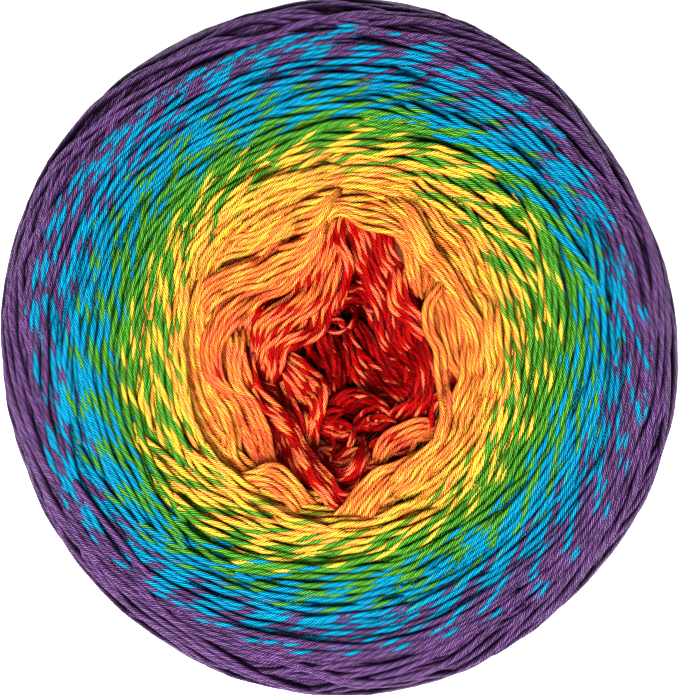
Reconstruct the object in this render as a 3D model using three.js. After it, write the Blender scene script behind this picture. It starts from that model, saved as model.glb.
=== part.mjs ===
// A wound cake of gradient yarn lying flat: a squat drum with a domed top, rounded shoulders,
// crossing bands of turns, and a middle that has sagged into a hollow with its loosened folds.
// Millimetres, +Z up. The origin is the middle of the flat underside.
import * as THREE from 'three';

// Main sizes of the wound form.
const cake = {
  radius: 74.8,         // mean radius, at the belly of the wall
  crownRadius: 44,      // the ring where the top stands highest
  crownHeight: 74,
  domeRadius: 70,       // where the dome runs into the shoulder
  domeSlope: 27,        // degrees below level, at that place
  wallTopRadius: 74.2,
  bellyHeight: 33,
  footRound: 10.5,      // round between the wall and the underside
};

// The outline seen from above is not quite a circle: each row is one wave round it.
const outlineWaves = [
  { lobes: 2, swell: 1.25, crest: 101 },
  { lobes: 4, swell: 0.5, crest: 73 },
  { lobes: 5, swell: 0.3, crest: 67 },
  { lobes: 1, swell: 0.25, crest: 144 },
];

// Bands of turns cross on the wall and the dome, half leaning each way.
const bands = { count: 9, pitch: 15.5, relief: 1.3, fadeFrom: 38, fadeTo: 52 };

// The sagging middle. The top starts to sink at the edge, and falls away inside the lip.
const hollow = { edge: 39, floorDepth: 35, lipShare: 0.7 };
const lipRadii = [
  { towards: 0, radius: 21 },
  { towards: 22.5, radius: 20 },
  { towards: 45, radius: 19.5 },
  { towards: 67.5, radius: 22 },
  { towards: 90, radius: 27 },
  { towards: 112.5, radius: 22 },
  { towards: 135, radius: 20 },
  { towards: 157.5, radius: 22 },
  { towards: 180, radius: 23 },
  { towards: 202.5, radius: 24 },
  { towards: 225, radius: 26 },
  { towards: 247.5, radius: 30 },
  { towards: 270, radius: 34 },
  { towards: 292.5, radius: 28 },
  { towards: 315, radius: 24 },
  { towards: 337.5, radius: 23 },
];

// Pits in the floor of the hollow, between the fallen turns.
const pits = [
  { name: 'upper', x: 3.5, y: 9, radius: 8, depth: 4 },
  { name: 'lower', x: -1.5, y: -8.5, radius: 6, depth: 4 },
  { name: 'right', x: 13, y: -6, radius: 8, depth: 3 },
];

// The loosened turns lie in thick folds, as ropes of yarn. Each one runs from, towards by, and
// on to its end: x, y, and how deep its top lies below the crown.
const folds = [
  { name: 'upper left outer', from: [-30, 10, 1], by: [-21, 24, 1], to: [-4, 31, 1], width: 12 },
  { name: 'upper left lip', from: [-27, 4, 3], by: [-11, 12, 1], to: [-4, 28, 4], width: 10 },
  { name: 'left sweep', from: [-22, -1, 4], by: [2, 4, 14], to: [0, 27, 5], width: 11 },
  { name: 'left shelf', from: [-24, -6, 5], by: [-9, 4, 8], to: [-3, 8, 14], width: 11 },
  { name: 'left curl', from: [-15, -5, 12], by: [1, -6, 15], to: [-5, -24, 21], width: 9 },
  { name: 'left rope', from: [-24, -8, 5], by: [-13, -17, 12], to: [-5, -36, 17], width: 9 },
  { name: 'left wall', from: [-32, 2, 1], by: [-22, -16, 6], to: [-21, -29, 4], width: 11 },
  { name: 'bottom left', from: [-24, -28, 2], by: [-9, -24, 5], to: [-2, -40, 6], width: 9 },
  { name: 'bottom right', from: [24, -25, 2], by: [8, -27, 8], to: [2, -41, 6], width: 9 },
  { name: 'right tongue', from: [23, -17, 4], by: [8, -14, 12], to: [8, -28, 20], width: 9 },
  { name: 'right rim', from: [19, 12, 3], by: [20, -3, 3], to: [24, -22, 2], width: 7 },
  { name: 'right drop', from: [12, 19, 5], by: [11, 6, 13], to: [20, 0, 9], width: 8 },
  { name: 'top fan', from: [-2, 28, 3], by: [7, 34, 1], to: [18, 22, 2], width: 9 },
  { name: 'top curtain', from: [2, 27, 5], by: [8, 19, 8], to: [9, 5, 24], width: 9 },
  { name: 'floor bridge', from: [-4, -13, 28], by: [4, -5, 24], to: [14, -14, 24], width: 8 },
  { name: 'floor ridge', from: [0, 5, 27], by: [0, 0, 25], to: [2, -8, 28], width: 8 },
  { name: 'floor curl', from: [-6, -21, 22], by: [0, -32, 21], to: [8, -20, 23], width: 8 },
];
const foldRound = 1.6;  // how sharply a fold's back is rounded: its fall is round * gap^2 / width
const foldBlend = 2.5;  // how softly a fold melts into what lies under it

// How finely the surface is faceted: points round a full ring, and the rows of rings.
const mesh = {
  around: 96,
  footRows: 4,
  wallRows: 9,
  shoulderRows: 4,
  domeRows: 12,
  hollowRows: 24,
  halfInside: 11,       // rings smaller than this have half the points
  quarterInside: 5,     // and smaller than this a quarter
  foldSamples: 12,
};

// The underside is flat, but for a dimple where the winding core stood.
const undersideRings = [
  { radius: 4, height: 3.4 },
  { radius: 7, height: 0 },
  { radius: 18, height: 0 },
  { radius: 34, height: 0 },
  { radius: 50, height: 0 },
];
const dimpleHeight = 4.6;

const radians = THREE.MathUtils.degToRad;
const { clamp, euclideanModulo, lerp, smoothstep } = THREE.MathUtils;

// The outline's radius in a direction, as a share of the mean radius.
function outlineShare(angle) {
  const swell = outlineWaves.reduce(
    (sum, wave) => sum + wave.swell * Math.cos(wave.lobes * (angle - radians(wave.crest))), 0);
  return 1 + swell / cake.radius;
}

// The ridge where the crossing bands of turns lie, at a place along the profile.
function bandRelief(angle, along, radius) {
  const lean = (2 * Math.PI * along) / bands.pitch;
  const rising = Math.cos(bands.count * angle + lean);
  const falling = Math.cos(bands.count * angle - lean);
  const weight = smoothstep(radius, bands.fadeFrom, bands.fadeTo);
  return 0.5 * bands.relief * weight * (Math.max(rising, falling) - 0.4);
}

// A smooth curve through four evenly spaced values, between the middle two.
function throughValues([a, b, c, d], share) {
  const bend = (3 * (b - c) + d - a) * share + 2 * a - 5 * b + 4 * c - d;
  return b + 0.5 * share * (c - a + share * bend);
}

// The lip's radius in any direction.
function lipRadius(angle) {
  const count = lipRadii.length;
  const place = (count * euclideanModulo(angle, 2 * Math.PI)) / (2 * Math.PI);
  const before = Math.floor(place);
  const nearby = [-1, 0, 1, 2].map((step) => lipRadii[(before + step + count) % count].radius);
  return throughValues(nearby, place - before);
}

// Rings of the hollow are numbered by share: 0 in the middle, lipShare at the lip, 1 at the edge.
function hollowRadius(share, angle) {
  const lip = lipRadius(angle);
  if (share <= hollow.lipShare) return (lip * share) / hollow.lipShare;
  return lerp(lip, hollow.edge, (share - hollow.lipShare) / (1 - hollow.lipShare));
}

function hollowShare(radius, angle) {
  const lip = lipRadius(angle);
  if (radius <= lip) return (hollow.lipShare * radius) / lip;
  return Math.min(1, lerp(hollow.lipShare, 1, (radius - lip) / (hollow.edge - lip)));
}

// The larger of two heights, with the crease between them rounded off.
function softMax(a, b, blend) {
  const near = Math.max(blend - Math.abs(a - b), 0) / blend;
  return Math.max(a, b) + (near * near * blend) / 4;
}

const foldLines = folds.map(({ from, by, to, width }) => {
  const ends = [from, by, to].map(([x, y, depth]) =>
    new THREE.Vector3(x, y, cake.crownHeight - depth));
  const points = new THREE.QuadraticBezierCurve3(...ends).getSpacedPoints(mesh.foldSamples);
  return { points, width };
});

// The height of one fold's back over a place, where the nearest part of its line lies.
function foldHeight({ points, width }, x, y) {
  let best = { gap: Infinity, height: 0 };
  for (let i = 1; i < points.length; i += 1) {
    const [start, end] = [points[i - 1], points[i]];
    const [runX, runY] = [end.x - start.x, end.y - start.y];
    const ahead = (x - start.x) * runX + (y - start.y) * runY;
    const share = clamp(ahead / (runX ** 2 + runY ** 2), 0, 1);
    const gap = Math.hypot(x - start.x - share * runX, y - start.y - share * runY);
    if (gap < best.gap) best = { gap, height: lerp(start.z, end.z, share) };
  }
  return best.height - (foldRound * best.gap ** 2) / width;
}

const domeRun = cake.domeRadius - cake.crownRadius;
const domeFall = Math.tan(radians(cake.domeSlope)) / (2 * domeRun);

function domeHeight(radius) {
  return cake.crownHeight - domeFall * Math.max(0, radius - cake.crownRadius) ** 2;
}

// The height in the hollow: a bowl, less its pits, with the folds lying in it.
function hollowHeight(x, y) {
  const share = hollowShare(Math.hypot(x, y), Math.atan2(y, x));
  const sunk = hollow.floorDepth * (0.5 + 0.5 * Math.cos(Math.PI * share));
  const pitDepth = pits.reduce((sum, pit) => {
    const gap = Math.min(1, Math.hypot(x - pit.x, y - pit.y) / pit.radius);
    return sum + pit.depth * (0.5 + 0.5 * Math.cos(Math.PI * gap));
  }, 0);
  const bowl = cake.crownHeight - sunk - pitDepth;
  const folded = foldLines.reduce((height, line) =>
    softMax(height, foldHeight(line, x, y), foldBlend), bowl);
  return Math.min(folded, cake.crownHeight + 0.5);
}

// The outside as rows of one mean profile: where each row is and which way it faces.
function outsideRows() {
  const slope = radians(cake.domeSlope);
  const shoulderRound = (cake.wallTopRadius - cake.domeRadius) / (1 - Math.sin(slope));
  const wallTop = domeHeight(cake.domeRadius) - shoulderRound * Math.cos(slope);
  const footRadius = cake.wallTopRadius - cake.footRound;
  const rows = [];
  for (let i = 0; i <= mesh.footRows; i += 1) {
    const turn = (Math.PI / 2) * (i / mesh.footRows);
    rows.push({
      radius: footRadius + cake.footRound * Math.sin(turn),
      height: cake.footRound * (1 - Math.cos(turn)),
      facing: turn - Math.PI / 2,
    });
  }
  for (let i = 1; i < mesh.wallRows; i += 1) {
    const height = lerp(cake.footRound, wallTop, i / mesh.wallRows);
    const fromBelly = (height - cake.bellyHeight) / (wallTop - cake.bellyHeight);
    const belly = (cake.radius - cake.wallTopRadius) * Math.max(0, 1 - fromBelly ** 2);
    rows.push({ radius: cake.wallTopRadius + belly, height, facing: 0 });
  }
  for (let i = 0; i <= mesh.shoulderRows; i += 1) {
    const turn = (Math.PI / 2 - slope) * (i / mesh.shoulderRows);
    rows.push({
      radius: cake.wallTopRadius - shoulderRound * (1 - Math.cos(turn)),
      height: wallTop + shoulderRound * Math.sin(turn),
      facing: turn,
    });
  }
  return rows;
}

function onCircle(radius, angle, height) {
  return new THREE.Vector3(radius * Math.cos(angle), radius * Math.sin(angle), height);
}

// One ring of points; small rings have fewer.
function makeRing(meanRadius, pointAt) {
  const thinned = meanRadius < mesh.halfInside ? 2 : 1;
  const around = mesh.around / (meanRadius < mesh.quarterInside ? 4 : thinned);
  return Array.from({ length: around }, (_, i) => pointAt((2 * Math.PI * i) / around));
}

function undersidePoints() {
  return undersideRings.map(({ radius, height }) =>
    makeRing(radius, (angle) => onCircle(radius * outlineShare(angle), angle, height)));
}

function wallPoints(rows) {
  return rows.map(({ radius, height, facing, along }) => makeRing(radius, (angle) => {
    const relief = height === 0 ? 0 : bandRelief(angle, along, radius);
    const reach = radius * outlineShare(angle) + relief * Math.cos(facing);
    return onCircle(reach, angle, Math.max(0, height + relief * Math.sin(facing)));
  }));
}

function domePoints(along) {
  return Array.from({ length: mesh.domeRows }, (_, i) => {
    const radius = lerp(cake.domeRadius, hollow.edge, (i + 1) / mesh.domeRows);
    return makeRing(radius, (angle) => {
      const reach = radius * lerp(1, outlineShare(angle), (radius / cake.radius) ** 2);
      const relief = bandRelief(angle, along + cake.domeRadius - radius, radius);
      return onCircle(reach, angle, domeHeight(radius) + relief);
    });
  });
}

function hollowPoints() {
  return Array.from({ length: mesh.hollowRows }, (_, i) => {
    const share = 1 - (i + 1) / (mesh.hollowRows + 1);
    return makeRing(hollow.edge * share * 0.85, (angle) => {
      const point = onCircle(hollowRadius(share, angle), angle, 0);
      return point.setZ(hollowHeight(point.x, point.y));
    });
  });
}

// Rings of points from the middle of the underside, up the wall, to the middle of the top.
function makeRings() {
  const rows = outsideRows();
  let along = 0;
  rows.forEach((row, i) => {
    const last = rows[i - 1] ?? row;
    along += Math.hypot(row.radius - last.radius, row.height - last.height);
    row.along = along;
  });
  return [...undersidePoints(), ...wallPoints(rows), ...domePoints(along), ...hollowPoints()];
}

// Two neighbouring rings are joined face by face; one may have twice the points of the other.
function joinRings(faces, lower, upper) {
  const count = Math.min(lower.length, upper.length);
  for (let i = 0; i < count; i += 1) {
    const next = (i + 1) % count;
    if (lower.length === upper.length) {
      faces.push([lower[i], lower[next], upper[next]], [lower[i], upper[next], upper[i]]);
    } else if (lower.length < upper.length) {
      const [a, b, c] = [upper[2 * i], upper[2 * i + 1], upper[2 * next]];
      faces.push([lower[i], b, a], [lower[i], lower[next], b], [lower[next], c, b]);
    } else {
      const [a, b, c] = [lower[2 * i], lower[2 * i + 1], lower[2 * next]];
      faces.push([a, b, upper[i]], [b, upper[next], upper[i]], [b, c, upper[next]]);
    }
  }
}

// A ring closed to one point in the middle.
function closeRing(faces, ring, middle, facesDown) {
  ring.forEach((here, i) => {
    const next = ring[(i + 1) % ring.length];
    faces.push(facesDown ? [middle, next, here] : [here, next, middle]);
  });
}

function makeCakeGeometry() {
  const rings = makeRings();
  const bottom = new THREE.Vector3(0, 0, dimpleHeight);
  const top = new THREE.Vector3(0, 0, hollowHeight(0, 0));
  const points = [bottom, ...rings.flat(), top];
  let used = 0;
  const numbered = rings.map((ring) => ring.map(() => {
    used += 1;
    return used;
  }));
  const faces = [];
  closeRing(faces, numbered[0], 0, true);
  for (let i = 1; i < numbered.length; i += 1) joinRings(faces, numbered[i - 1], numbered[i]);
  closeRing(faces, numbered.at(-1), points.length - 1, false);
  const geometry = new THREE.BufferGeometry().setFromPoints(points);
  geometry.setIndex(faces.flat());
  geometry.computeVertexNormals();
  return geometry;
}

const yarn = new THREE.MeshStandardMaterial({ color: 0x6a4a7c, roughness: 0.9, metalness: 0 });
const woundYarn = new THREE.Mesh(makeCakeGeometry(), yarn);
woundYarn.name = 'wound_yarn';

const yarnCake = new THREE.Group();
yarnCake.add(woundYarn);

export default yarnCake;
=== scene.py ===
import math

import bpy
import numpy as np
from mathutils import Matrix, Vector
from mathutils.bvhtree import BVHTree


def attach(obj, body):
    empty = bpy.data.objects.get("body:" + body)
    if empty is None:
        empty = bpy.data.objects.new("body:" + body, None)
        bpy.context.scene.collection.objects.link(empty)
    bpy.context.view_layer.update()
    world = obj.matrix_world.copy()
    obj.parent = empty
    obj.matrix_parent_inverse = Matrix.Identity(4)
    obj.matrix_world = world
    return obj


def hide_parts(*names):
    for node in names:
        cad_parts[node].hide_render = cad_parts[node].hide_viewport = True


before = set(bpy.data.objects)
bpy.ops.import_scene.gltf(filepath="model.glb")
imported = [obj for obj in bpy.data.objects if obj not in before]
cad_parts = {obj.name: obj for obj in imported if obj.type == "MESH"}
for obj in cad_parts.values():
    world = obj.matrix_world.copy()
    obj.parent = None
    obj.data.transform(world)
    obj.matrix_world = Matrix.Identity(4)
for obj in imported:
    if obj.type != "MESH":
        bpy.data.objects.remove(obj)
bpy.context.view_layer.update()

# All lengths below are millimetres, and all angles degrees, until a mesh or light is made.
metre = 0.001
pathStep = 0.5
lottery = np.random.default_rng(20)

camera = {"height": 1174.0, "pixelsAcross": 679, "pixelsDown": 695, "focalPixels": 5098.0}
yarn = {"radius": 0.75, "looseRadius": 0.7, "nest": 0.22, "pitch": 11.0, "threads": 4, "taper": 0.12}
outlineWaves = [  # lobes round the cake, swell, direction of a crest
    (2, 1.25, 101), (4, 0.5, 73), (5, 0.3, 67), (1, 0.25, 144),
]
cakeRadius = 74.8


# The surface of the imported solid, for rays to meet.
def solidSurface(node):
    place = node.matrix_world
    points = [place @ v.co for v in node.data.vertices]
    return BVHTree.FromPolygons(points, [tuple(p.vertices) for p in node.data.polygons])


# Its heights under a square grid, seen from above.
def heightGrid(surface, halfWidth, cell, outside):
    places = np.arange(-halfWidth, halfWidth + cell / 2, cell)
    heights = np.full((len(places), len(places)), outside)
    for i, x in enumerate(places):
        for j, y in enumerate(places):
            if x * x + y * y > halfWidth * halfWidth:
                continue
            hit = surface.ray_cast(Vector((x * metre, y * metre, 0.2)), Vector((0, 0, -1)))[0]
            if hit is not None:
                heights[i, j] = hit.z / metre
    return places, heights


print("scene: reading the solid")
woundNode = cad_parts["wound_yarn"]
surface = solidSurface(woundNode)
topHalf, cell = 79.2, 0.4
places, solidTop = heightGrid(surface, topHalf, cell, outside=40.0)


def smoothed(values, reach):
    span = int(math.ceil(2.5 * reach))
    weights = np.exp(-0.5 * (np.arange(-span, span + 1) / reach) ** 2)
    return np.convolve(np.pad(values, span, mode="edge"), weights / weights.sum(), mode="valid")


def highest(values, span):
    padded = np.pad(values, span, mode="edge")
    return np.lib.stride_tricks.sliding_window_view(padded, 2 * span + 1).max(axis=1)


# The distance along a line from its first point to each of its points.
def runOf(points):
    return np.concatenate([[0], np.cumsum(np.linalg.norm(np.diff(points, axis=0), axis=1))])


def evenly(path, step=pathStep):
    place = runOf(path)
    count = max(4, int(place[-1] / step))
    wanted = np.linspace(0, place[-1], count)
    return np.stack([np.interp(wanted, place, path[:, k]) for k in range(path.shape[1])], axis=1)


def sideways(path):
    ahead = np.gradient(path, axis=0)
    ahead /= np.maximum(np.linalg.norm(ahead, axis=1, keepdims=True), 1e-9)
    return np.stack([-ahead[:, 1], ahead[:, 0]], axis=1)


# Places at distances from the middle, in directions given as radians.
def polar(distance, angle):
    return np.stack([distance * np.cos(angle), distance * np.sin(angle)], axis=1)


def facingUp(count, sign=1.0):
    return np.tile([0.0, 0.0, sign], (count, 1))


# A value read from a table of (where, value) pairs.
def fromTable(where, table):
    return np.interp(where, *zip(*table))


# What has been laid so far, seen square on.
class Bed:
    def __init__(self, heights, low, cell, wraps=False):
        self.heights, self.low, self.cell, self.wraps = heights, low, cell, wraps

    def index(self, across, along):
        i = np.rint((across - self.low[0]) / self.cell).astype(int)
        j = np.rint((along - self.low[1]) / self.cell).astype(int)
        rows, columns = self.heights.shape
        i = i % rows if self.wraps else np.clip(i, 0, rows - 1)
        return i, np.clip(j, 0, columns - 1)

    def at(self, across, along):
        return self.heights[self.index(across, along)]

    # One turn comes to rest on what lies under it, and then belongs to the bed itself.
    def lay(self, path, radius, reach):
        side = sideways(path)
        need = np.full(len(path), -np.inf)
        for share in (-0.75, -0.4, 0.0, 0.4, 0.75):
            spot = path + side * share * radius
            need = np.maximum(need, self.at(spot[:, 0], spot[:, 1])
                              + radius * math.sqrt(1 - share * share))
        level = smoothed(highest(need, int(reach)), reach) - yarn["nest"]
        steps = np.arange(-radius, radius + 1e-6, self.cell)
        for dx in steps:
            for dy in steps:
                gap = dx * dx + dy * dy
                if gap < radius * radius:
                    spots = self.index(path[:, 0] + dx, path[:, 1] + dy)
                    np.maximum.at(self.heights, spots, level + math.sqrt(radius * radius - gap))
        return level


def outlineFactor(angle, radius):
    swell = sum(s * np.cos(n * (angle - math.radians(c))) for n, s, c in outlineWaves)
    return 1 + (swell / cakeRadius) * np.minimum(1, radius / cakeRadius) ** 2


# A sway of a given size, mixed from waves of (length, share).
def wobble(length, count, size, mix):
    place = np.linspace(0, length, count)
    total = np.zeros(count)
    for wavelength, share in mix:
        phase = lottery.uniform(0, 2 * math.pi)
        total += share * np.sin(2 * math.pi * place / (wavelength * lottery.uniform(0.8, 1.25)) + phase)
    return size * total


strands = {}


# A strand: where its middle runs, which way is out, its place in the gradient, and a shade.
def addStrand(piece, middle, out, tone, thin=1, radius=None, start=None, sink=0.0):
    if len(middle) < 2 * thin + 2:
        return
    keep = np.unique(np.append(np.arange(0, len(middle), thin), len(middle) - 1))
    tones = np.broadcast_to(np.asarray(tone, float), (len(middle),))[keep]
    strands.setdefault(piece, []).append({
        "middle": middle[keep], "out": out[keep], "tone": tones,
        "sink": np.broadcast_to(sink, (len(middle),))[keep],
        "radius": radius or yarn["radius"] * lottery.uniform(0.96, 1.03),
        "shade": lottery.uniform(0.0, 1.0),
        "start": lottery.uniform(0, 40) if start is None else start,
    })


def tubeArrays(strand, sides):
    middle, out = strand["middle"], strand["out"]
    ahead = np.gradient(middle, axis=0)
    ahead /= np.linalg.norm(ahead, axis=1, keepdims=True)
    out = out - (out * ahead).sum(axis=1, keepdims=True) * ahead
    out /= np.maximum(np.linalg.norm(out, axis=1, keepdims=True), 1e-6)
    side = np.cross(ahead, out)
    turn = 2 * math.pi * np.arange(sides) / sides
    ring = (np.cos(turn)[None, :, None] * out[:, None, :]
            + np.sin(turn)[None, :, None] * side[:, None, :])
    radius = strand["radius"] * (1 - yarn["taper"] * strand["sink"])
    points = middle[:, None, :] + radius[:, None, None] * ring
    return points, strand["start"] + runOf(middle)


def joinTubes(name, pieces, sides, material):
    points, tones, shades, faces, uvs, caps = [], [], [], [], [], []
    first = 0
    step = np.arange(sides)
    after = (step + 1) % sides
    for strand in pieces:
        ring, length = tubeArrays(strand, sides)
        count = len(ring)
        points.append(ring.reshape(-1, 3))
        tones.append(np.repeat(strand["tone"], sides))
        shades.append(np.full(count * sides, strand["shade"]))
        base = first + sides * np.arange(count - 1)[:, None]
        quad = [base + step, base + after, base + sides + after, base + sides + step]
        faces.append(np.stack(quad, axis=-1).reshape(-1, 4))
        low, high = length[:-1, None] + 0 * step, length[1:, None] + 0 * step
        left, right = 0 * low + step / sides, 0 * low + (step + 1) / sides
        corner = np.stack([np.stack([low, left], -1), np.stack([low, right], -1),
                           np.stack([high, right], -1), np.stack([high, left], -1)], axis=2)
        uvs.append(corner.reshape(-1, 2))
        caps.append((first + step[::-1], first + sides * (count - 1) + step, length[0], length[-1]))
        first += count * sides
    faces = np.concatenate(faces)
    capLoops = np.concatenate([np.concatenate([a, b]) for a, b, _, _ in caps])
    capUvs = np.concatenate([np.stack([np.r_[np.full(sides, c), np.full(sides, d)],
                                       np.tile(step / sides, 2)], axis=1) for _, _, c, d in caps])
    loops = np.concatenate([faces.ravel(), capLoops])
    sizes = np.concatenate([np.full(len(faces), 4), np.full(2 * len(caps), sides)])
    starts = np.concatenate([[0], np.cumsum(sizes)[:-1]])
    mesh = bpy.data.meshes.new(name)
    mesh.vertices.add(first)
    mesh.vertices.foreach_set("co", (np.concatenate(points) * metre).ravel())
    mesh.loops.add(len(loops))
    mesh.loops.foreach_set("vertex_index", loops.astype(np.int32))
    mesh.polygons.add(len(sizes))
    mesh.polygons.foreach_set("loop_start", starts.astype(np.int32))
    mesh.polygons.foreach_set("use_smooth", np.ones(len(sizes), dtype=bool))
    layer = mesh.uv_layers.new(name="alongAround")
    layer.data.foreach_set("uv", np.concatenate([*uvs, capUvs]).astype(np.float32).ravel())
    for label, values in (("tone", tones), ("shade", shades)):
        mesh.attributes.new(label, "FLOAT", "POINT")
        mesh.attributes[label].data.foreach_set("value", np.concatenate(values).astype(np.float32))
    mesh.update(calc_edges=True)
    mesh.validate()
    piece = bpy.data.objects.new(name, mesh)
    bpy.context.scene.collection.objects.link(piece)
    piece.data.materials.append(material)
    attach(piece, "root")
    triangles = 2 * len(faces) + (sides - 2) * 2 * len(caps)
    print("scene:", name, "has", len(pieces), "strands,", triangles, "triangles")


# The loosened middle: folds of strands between two edges, by the photograph's pixels, lowest first.
# Each has its name, its place in the gradient at both ends, and its two edges.
folds = [
    # The lowest folds lie partly in the darker red, painted shade of the hollow.
    ("floorRidge", (14.0, 15.4),
     [(311, 329), (320, 350), (324, 376), (329, 402)],
     [(355, 320), (355, 342), (357, 368), (361, 392)]),
    ("lowerFloor", (16.6, 18.6),
     [(338, 346), (350, 374), (366, 396), (388, 412), (408, 420)],
     [(354, 338), (366, 362), (384, 386), (402, 402), (418, 408)]),
    ("rightFloor", (14.4, 17.4),
     [(352, 320), (363, 355), (378, 382), (394, 402), (404, 418)],
     [(385, 324), (402, 350), (420, 372), (430, 388), (434, 408)]),
    ("rightBack", (15.6, 17.0),
     [(398, 318), (407, 342), (414, 374), (407, 400), (381, 418)],
     [(424, 320), (431, 346), (434, 381), (428, 409), (398, 428)]),
    ("bottomFloor", (18.0, 19.5),
     [(311, 457), (329, 478), (350, 478), (370, 457)],
     [(320, 493), (333, 511), (355, 502), (376, 472)]),
    ("floorHook", (16.5, 18),
     [(329, 415), (329, 398), (346, 388), (376, 398), (398, 418)],
     [(344, 420), (346, 407), (357, 401), (376, 411), (389, 428)]),
    ("lowerCurl", (19.0, 19.6),
     [(292, 446), (311, 478), (331, 493), (355, 491), (372, 463)],
     [(322, 439), (329, 459), (342, 467), (357, 459), (363, 433)]),
    ("topCurtain", (20.6, 16.6),
     [(334, 194), (349, 246), (361, 277), (370, 303), (376, 333), (388, 356)],
     [(380, 194), (396, 246), (407, 277), (409, 303), (410, 329), (418, 350)]),
    ("rightDrop", (22.6, 18.6),
     [(386, 262), (387, 288), (391, 311), (407, 331), (434, 350)],
     [(406, 254), (407, 277), (411, 298), (422, 318), (438, 331)]),
    ("innerPanel", (20.4, 19.2),
     [(262, 398), (268, 428), (272, 461), (292, 489)],
     [(294, 415), (303, 446), (314, 472), (329, 502)]),
    ("leftCurl", (23.2, 21.0),
     [(275, 376), (283, 398), (292, 420), (296, 446)],
     [(290, 350), (316, 368), (327, 398), (316, 446)]),
    ("leftSweepDeep", (21.4, 21.2),
     [(329, 246), (311, 281), (285, 307), (255, 331), (249, 370)],
     [(353, 246), (350, 277), (333, 314), (318, 340), (288, 355), (270, 398)]),
    ("leftSweep", (25.0, 23.2),
     [(333, 206), (327, 231), (312, 264), (286, 294), (251, 322), (245, 361)],
     [(347, 210), (344, 236), (342, 272), (322, 307), (294, 329), (266, 350), (255, 385)]),
    ("innerRope", (21.6, 19.0),
     [(340, 204), (335, 238), (342, 266), (342, 292), (333, 311)],
     [(350, 206), (347, 240), (352, 266), (350, 288), (342, 311)]),
    ("leftRope", (21.8, 19.4),
     [(240, 358), (244, 378), (257, 405), (283, 433), (303, 463), (317, 494),
      (335, 516), (364, 512), (388, 492)],
     [(252, 352), (255, 374), (272, 398), (294, 424), (311, 448), (327, 472),
      (340, 490), (360, 488), (376, 474)]),
    ("leftFill", (26.5, 25.5),
     [(246, 294), (230, 316), (225, 345), (230, 380), (240, 402)],
     [(270, 300), (252, 320), (246, 345), (250, 378), (258, 398)]),
    ("leftPanel", (28.4, 26.4),
     [(203, 311), (214, 363), (231, 415), (249, 450), (250, 474), (262, 494)],
     [(246, 329), (242, 372), (259, 409), (274, 439), (277, 470), (290, 490)]),
    ("leftOuter", (34.5, 31.5),
     [(190, 274), (181, 311), (190, 363), (210, 428), (225, 470), (246, 498)],
     [(218, 276), (212, 311), (218, 368), (236, 420), (244, 454), (255, 478)]),
    ("bottomLeft", (31.8, 29.6),
     [(223, 474), (255, 487), (285, 502), (307, 530), (320, 554)],
     [(246, 470), (277, 465), (298, 480), (318, 504), (337, 528)]),
    ("rightTongue", (28, 23),
     [(446, 420), (420, 418), (392, 424), (376, 439), (374, 459)],
     [(446, 446), (420, 444), (398, 450), (385, 465), (381, 478)]),
    ("bottomRight", (32.4, 30.2),
     [(448, 438), (412, 452), (374, 471), (346, 495), (324, 524)],
     [(463, 467), (431, 478), (400, 500), (381, 524), (363, 550)]),
    ("leftShelf", (25.6, 28.6),
     [(242, 408), (228, 384), (222, 358), (228, 334), (246, 319), (264, 303),
      (288, 288), (312, 262), (326, 232)],
     [(214, 394), (203, 362), (202, 330), (220, 304), (248, 287), (280, 271),
      (300, 256), (318, 236), (330, 214)]),
    ("topRightDrop", (31, 29),
     [(388, 212), (394, 230), (400, 250), (407, 276), (416, 298)],
     [(414, 222), (421, 240), (427, 260), (430, 282), (436, 304)]),
    ("rightPanel", (31, 30.5),
     [(432, 262), (428, 300), (432, 326), (442, 350), (456, 376), (462, 398)],
     [(456, 264), (463, 300), (466, 326), (468, 350), (472, 385), (474, 404)]),
    ("rightOuter", (33, 32.5),
     [(458, 282), (464, 318), (463, 355), (450, 398), (434, 434), (410, 460), (380, 484)],
     [(484, 286), (493, 322), (491, 363), (478, 407), (458, 446), (430, 476), (398, 502)]),
    ("topFan", (34.5, 33.5),
     [(322, 236), (338, 216), (363, 227), (389, 237), (420, 246)],
     [(308, 226), (334, 199), (363, 196), (394, 210), (426, 234)]),
    ("topBridge", (35, 33.5),
     [(292, 226), (328, 199), (362, 190), (392, 200), (424, 226)],
     [(282, 208), (324, 184), (364, 176), (399, 184), (438, 212)]),
    ("topRight", (33, 32),
     [(378, 196), (392, 214), (407, 238), (420, 262), (436, 284), (454, 304),
      (467, 334), (471, 372)],
     [(404, 190), (420, 212), (438, 238), (452, 260), (468, 286), (482, 310),
      (489, 344), (488, 386)]),
    ("farRight", (36, 34.5),
     [(409, 194), (437, 225), (461, 262), (480, 303), (486, 350), (478, 396)],
     [(435, 190), (461, 218), (487, 255), (502, 294), (506, 345), (498, 402)]),
    ("upperLeft", (35.5, 34),
     [(177, 255), (216, 231), (262, 214), (303, 197), (342, 186)],
     [(181, 292), (225, 262), (272, 244), (307, 231), (340, 201)]),
    ("upperLeftLip", (30.8, 30.4),
     [(183, 292), (225, 266), (268, 246), (307, 233), (331, 210)],
     [(203, 320), (238, 292), (283, 281), (314, 255), (331, 223)]),
    ("rightRim", (29.5, 29.5),
     [(441, 275), (425, 301), (425, 329), (434, 363), (438, 398), (436, 458)],
     [(450, 277), (436, 303), (436, 331), (449, 368), (451, 398), (442, 456)]),
]
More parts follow.
